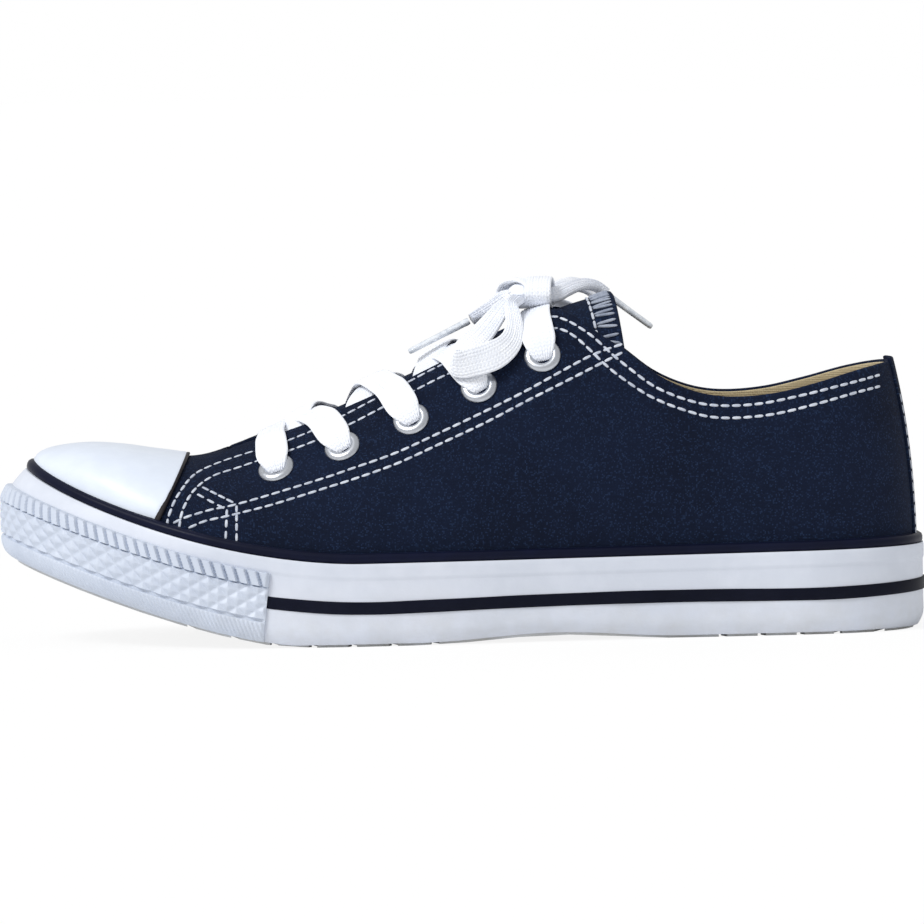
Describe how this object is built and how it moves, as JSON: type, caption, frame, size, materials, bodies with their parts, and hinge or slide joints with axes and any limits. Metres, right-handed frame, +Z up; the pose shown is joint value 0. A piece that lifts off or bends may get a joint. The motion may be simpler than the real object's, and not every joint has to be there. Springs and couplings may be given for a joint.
{
  "type": "canvas sneaker",
  "caption": "Low canvas lace-up sneaker for the left foot, with a rubber toe cap, textured toe bumper, striped rubber sole wall and flat laces tied in a small bow.",
  "frame": {"origin": "middle of the shoe's length and width, on the floor under the sole", "axes": "+Z up, the toe towards -X, the outer side of the foot towards -Y, the inner side towards +Y"},
  "size_m": [0.282, 0.1044, 0.1077],
  "materials": {
    "outsole_rubber": "matte white vulcanised rubber tread",
    "wall_rubber": "smooth white rubber, half gloss",
    "line_rubber": "glossy dark navy rubber tape",
    "cap_rubber": "smooth white rubber, half gloss",
    "canvas": "plain-weave navy cotton canvas",
    "lining": "cream cotton twill",
    "thread": "thick off-white sewing thread",
    "metal": "satin nickel-coloured metal",
    "lace": "flat white ribbed cotton lace",
    "lace_tip": "clear plastic sleeve on white lace"
  },
  "bodies": {
    "root": {"outsole": "outsole_rubber", "foxing": "wall_rubber", "foxing_trim": "line_rubber", "toe_bumper": "wall_rubber", "upper": "canvas", "toe_cap": "cap_rubber", "tongue": "canvas", "insole": "lining", "eyelet_outer_1": "metal", "eyelet_inner_1": "metal", "eyelet_outer_2": "metal", "eyelet_inner_2": "metal", "eyelet_outer_3": "metal", "eyelet_inner_3": "metal", "eyelet_outer_4": "metal", "eyelet_inner_4": "metal", "eyelet_outer_5": "metal", "eyelet_inner_5": "metal", "lace_bar_1": "lace", "lace_crossing_2": "lace", "lace_crossing_3": "lace", "lace_crossing_4": "lace", "lace_bar_5": "lace", "knot": "lace", "near_loop": "lace", "far_loop": "lace", "near_end": "lace", "far_end": "lace", "near_tip": "lace_tip", "far_tip": "lace_tip"}
  },
  "joints": []
}
